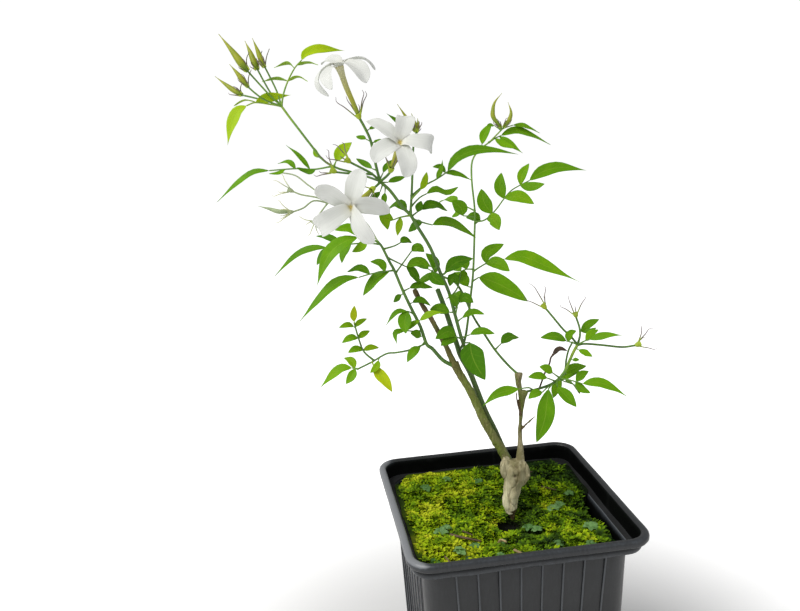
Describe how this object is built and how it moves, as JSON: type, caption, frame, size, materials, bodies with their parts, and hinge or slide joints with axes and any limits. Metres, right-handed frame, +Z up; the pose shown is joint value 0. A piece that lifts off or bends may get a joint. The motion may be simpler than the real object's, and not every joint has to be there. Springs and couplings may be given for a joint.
{
  "type": "potted jasmine",
  "caption": "Young flowering jasmine with a woody stump, leafy stems and white star-shaped flowers, growing through moss in a square black nursery pot.",
  "frame": {"origin": "centre of the pot's flat underside", "axes": "+Z up along the pot, +X to the right along the pot's front lip, +Y to its back; the flowers face the front left, towards -X and -Y"},
  "size_m": [0.2018, 0.1276, 0.3413],
  "materials": {
    "pot": "moulded black nursery plastic, slightly greasy sheen, greyed and scuffed at the lip",
    "soil": "dark damp peat, matt",
    "moss": "soft yellow-green moss cushions, matt",
    "bark": "pale tan and brown bark, matt",
    "stem_green": "smooth green stem, satin",
    "leaf": "green leaf blades, satin, with a sunken rib",
    "dry_twig": "dark dry twig, matt",
    "petal": "white petals, soft matt, cream yellow in the throat"
  },
  "bodies": {
    "root": {"pot": "pot", "soil": "soil", "moss": "moss", "trunk": "bark", "flowering_stem": "leaf", "upper_left_spray": "leaf", "left_stem": "leaf", "lower_left_spray": "leaf", "far_spray": "stem_green", "back_stem": "leaf", "right_cane": "leaf", "right_shoot": "leaf", "dead_shoot": "dry_twig", "bloom_top": "petal", "bloom_middle": "petal", "bloom_left": "petal"}
  },
  "joints": []
}
